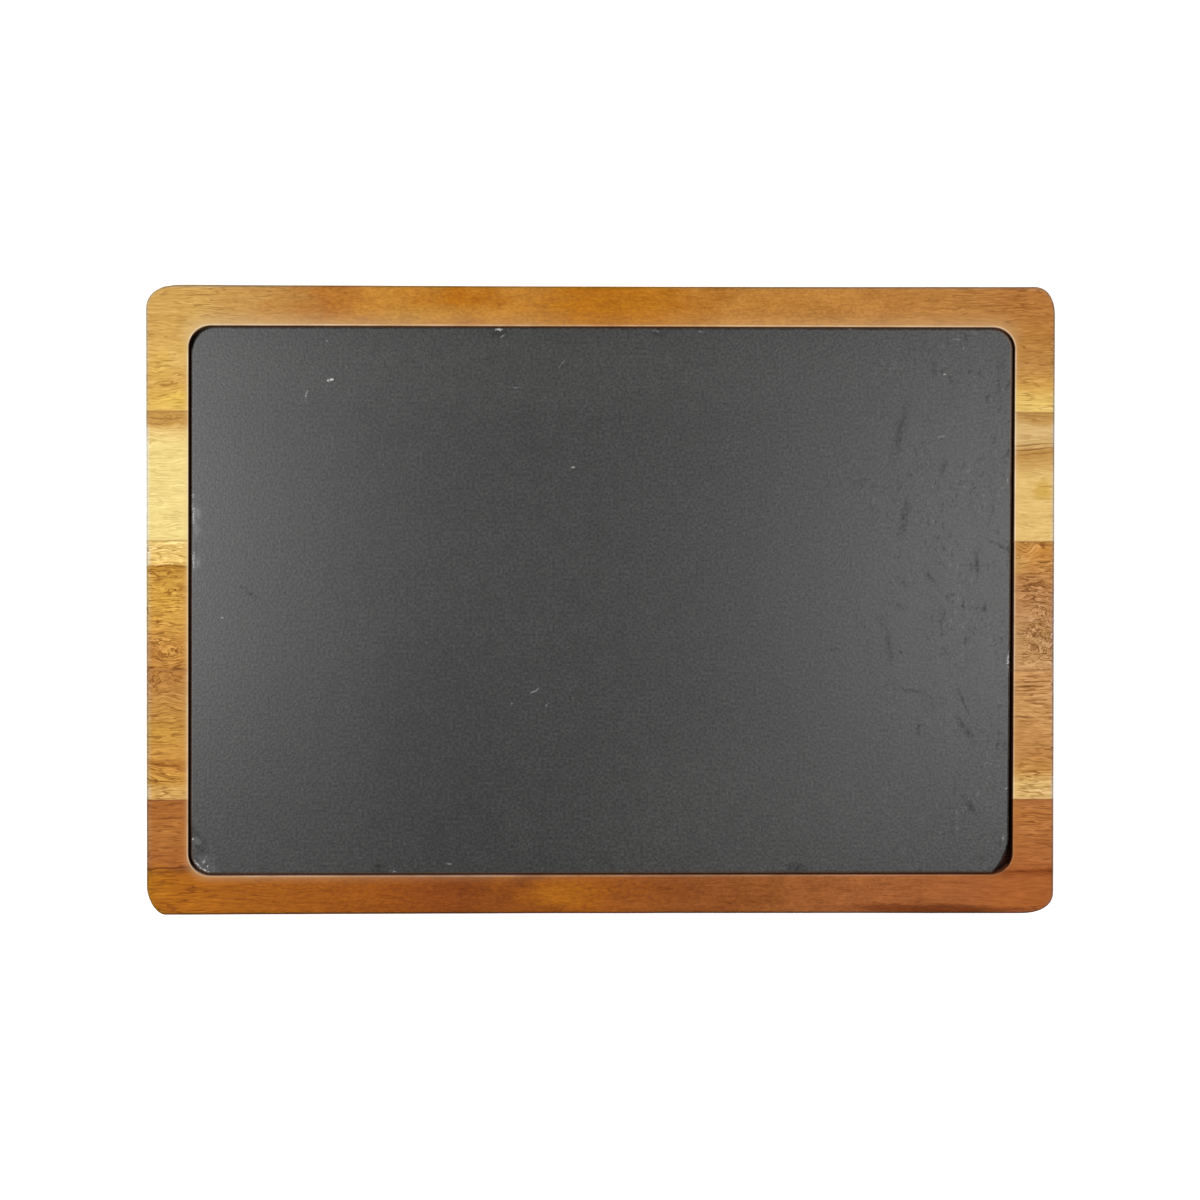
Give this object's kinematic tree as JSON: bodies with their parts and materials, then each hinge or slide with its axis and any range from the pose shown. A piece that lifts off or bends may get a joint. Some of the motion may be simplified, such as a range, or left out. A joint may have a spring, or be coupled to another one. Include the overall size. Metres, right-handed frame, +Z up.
{
  "type": "slate serving board",
  "caption": "Rectangular serving board: an edge-glued hardwood panel with a routed pocket holding a loose slate plate, on rubber feet.",
  "frame": {"origin": "on the table, under the middle of the board", "axes": "+X along the grain and the longest side, to the right in the picture; +Y towards the back edge, up in the picture; +Z up out of the slate"},
  "size_m": [0.33, 0.2284, 0.017],
  "materials": {
    "acacia_golden": "oiled satin, golden tan with a reddish middle",
    "acacia_sapwood": "oiled satin, cream sapwood with brown streaks",
    "acacia_heartwood": "oiled satin, golden brown heartwood with a burl",
    "acacia_honey": "oiled satin, honey brown with straight dark lines",
    "acacia_russet": "oiled satin, russet brown",
    "wood_glue": "cured wood glue, a thin brown line",
    "slate": "matt dark grey slate, fine grit, chipped arris",
    "foam": "black closed-cell foam",
    "rubber": "matt black rubber"
  },
  "bodies": {
    "board": {"back_stave": "acacia_golden", "back_inner_stave": "acacia_sapwood", "middle_stave": "acacia_heartwood", "front_inner_stave": "acacia_honey", "front_stave": "acacia_russet", "back_glue_line": "wood_glue", "back_inner_glue_line": "wood_glue", "front_inner_glue_line": "wood_glue", "front_glue_line": "wood_glue", "foot_back_left": "rubber", "foot_back_right": "rubber", "foot_front_left": "rubber", "foot_front_right": "rubber"},
    "slate": {"slate_plate": "slate", "pad_back_left": "foam", "pad_back_right": "foam", "pad_front_left": "foam", "pad_front_right": "foam"}
  },
  "joints": [
    {"name": "slate_lift", "type": "slide", "parent": "board", "child": "slate", "axis": [0, 0, 1], "range_m": [0, 0.03]}
  ]
}
